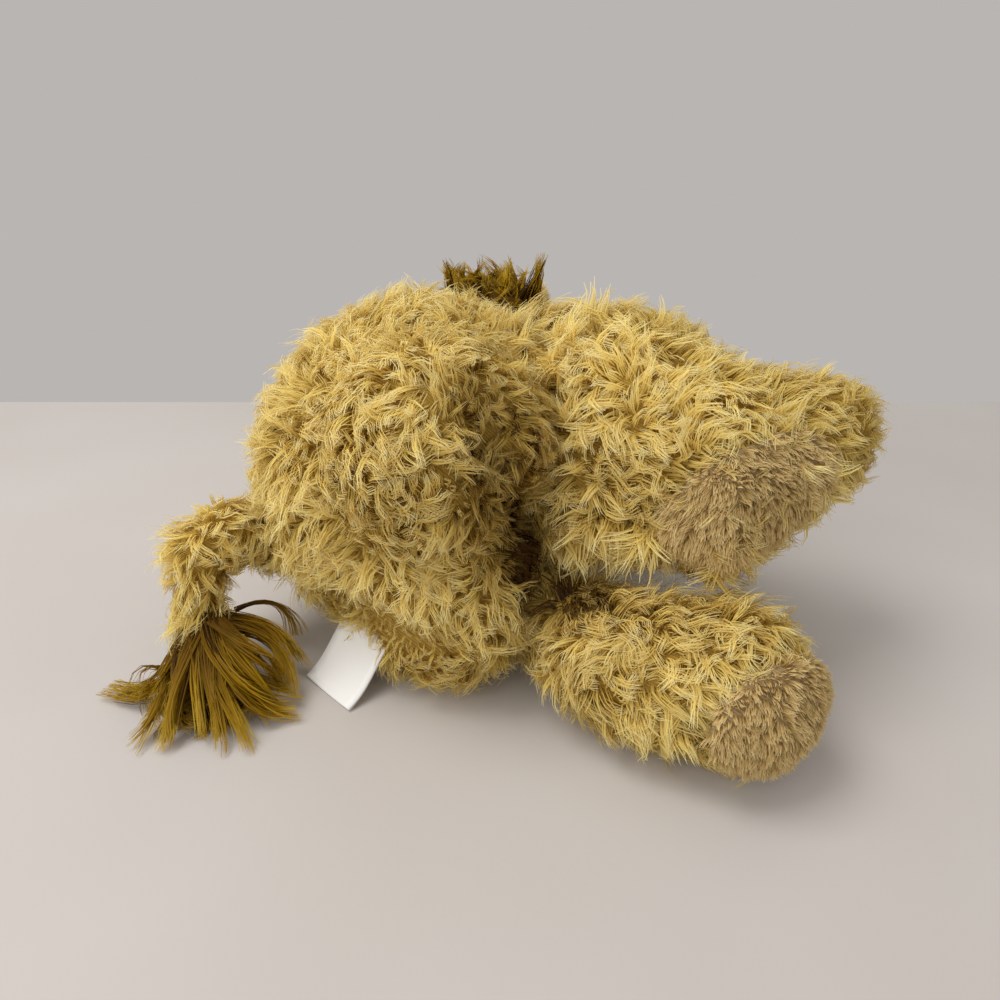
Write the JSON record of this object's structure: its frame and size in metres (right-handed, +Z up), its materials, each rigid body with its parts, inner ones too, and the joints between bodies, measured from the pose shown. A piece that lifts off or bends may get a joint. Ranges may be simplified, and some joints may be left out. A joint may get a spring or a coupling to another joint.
{
  "type": "plush lion",
  "caption": "Shaggy stuffed lion lying on its side, with sewn limbs that swing, short-pile sole pads, a tufted tail, a mane and a satin care label.",
  "frame": {"origin": "on the table, under the middle of the toy's box", "axes": "+X is the lion's front, +Y runs up its back to its head, +Z is up from the table and is the lion's right side"},
  "size_m": [0.33, 0.3704, 0.1575],
  "materials": {
    "straw_plush": "long wavy pile, matte with a soft sheen",
    "sole_plush": "short dense pile, matte",
    "cream_plush": "short pile, matte",
    "mane_fur": "long straight hair, brown at the roots",
    "nose_cloth": "short brushed cloth",
    "label_satin": "white satin ribbon, unprinted",
    "stuffing": "polyester fibre",
    "pouch_cloth": "thin cotton bag of plastic pellets",
    "eye_plastic": "moulded, glossy",
    "washer_plastic": "moulded, matte"
  },
  "bodies": {
    "torso": {"torso_skin": "straw_plush", "torso_filling": "stuffing", "pellet_pouch": "pouch_cloth"},
    "head": {"head_skin": "straw_plush", "head_filling": "stuffing", "right_eye": "eye_plastic", "right_eye_washer": "washer_plastic", "left_eye": "eye_plastic", "left_eye_washer": "washer_plastic", "muzzle": "cream_plush", "nose": "nose_cloth", "mane": "mane_fur"},
    "right_ear": {"right_ear_back": "straw_plush", "right_ear_lining": "cream_plush"},
    "left_ear": {"left_ear_back": "straw_plush", "left_ear_lining": "cream_plush"},
    "right_arm": {"right_arm_skin": "straw_plush", "right_arm_filling": "stuffing", "right_paw_pad": "sole_plush"},
    "left_arm": {"left_arm_skin": "straw_plush", "left_arm_filling": "stuffing", "left_paw_pad": "sole_plush"},
    "right_leg": {"right_leg_skin": "straw_plush", "right_leg_filling": "stuffing", "right_sole_pad": "sole_plush"},
    "left_leg": {"left_leg_skin": "straw_plush", "left_leg_filling": "stuffing", "left_sole_pad": "sole_plush"},
    "tail": {"tail_skin": "straw_plush", "tail_filling": "stuffing"},
    "tuft": {"tail_tuft": "mane_fur"},
    "label": {"care_label": "label_satin"}
  },
  "joints": [
    {"name": "head_nod", "type": "hinge", "parent": "torso", "child": "head", "pos_m": [-0.01062, 0.05774, 0.068], "axis": [0, 0, 1], "range_deg": [-15, 15], "stiffness_Nm_per_rad": 0.4},
    {"name": "right_ear_fold", "type": "hinge", "parent": "head", "child": "right_ear", "pos_m": [0.03038, 0.1461, 0.09379], "axis": [0, 0.6039, -0.7971], "range_deg": [-8, 30], "stiffness_Nm_per_rad": 0.02},
    {"name": "left_ear_fold", "type": "hinge", "parent": "head", "child": "left_ear", "pos_m": [0.03038, 0.1461, 0.04021], "axis": [0, -0.6039, -0.7971], "range_deg": [-8, 30], "stiffness_Nm_per_rad": 0.02},
    {"name": "right_arm_swing", "type": "hinge", "parent": "torso", "child": "right_arm", "pos_m": [0.01146, 0.0275, 0.10876], "axis": [0, 0, 1], "range_deg": [-8, 30], "stiffness_Nm_per_rad": 0.08},
    {"name": "left_arm_swing", "type": "hinge", "parent": "torso", "child": "left_arm", "pos_m": [0.01146, 0.0275, 0.03291], "axis": [0, 0, 1], "range_deg": [-8, 30], "stiffness_Nm_per_rad": 0.08},
    {"name": "right_leg_swing", "type": "hinge", "parent": "torso", "child": "right_leg", "pos_m": [0.0335, -0.08156, 0.08532], "axis": [0, 0, 1], "range_deg": [-8, 12], "stiffness_Nm_per_rad": 0.3},
    {"name": "left_leg_swing", "type": "hinge", "parent": "torso", "child": "left_leg", "pos_m": [0.01754, -0.10418, 0.03871], "axis": [0, 0, 1], "range_deg": [-12, 3], "stiffness_Nm_per_rad": 0.25},
    {"name": "tail_swing", "type": "hinge", "parent": "torso", "child": "tail", "pos_m": [-0.09798, -0.0761, 0.05688], "axis": [0, 0, 1], "range_deg": [-40, 8], "stiffness_Nm_per_rad": 0.02},
    {"name": "tuft_swing", "type": "hinge", "parent": "tail", "child": "tuft", "pos_m": [-0.12988, -0.10525, 0.03158], "axis": [0, 0, 1], "range_deg": [-20, 6], "stiffness_Nm_per_rad": 0.008},
    {"name": "label_flip", "type": "hinge", "parent": "torso", "child": "label", "pos_m": [-0.06007, -0.10636, 0.019], "axis": [-0.7214, 0.6925, 0], "range_deg": [0, 40], "stiffness_Nm_per_rad": 0.001}
  ]
}
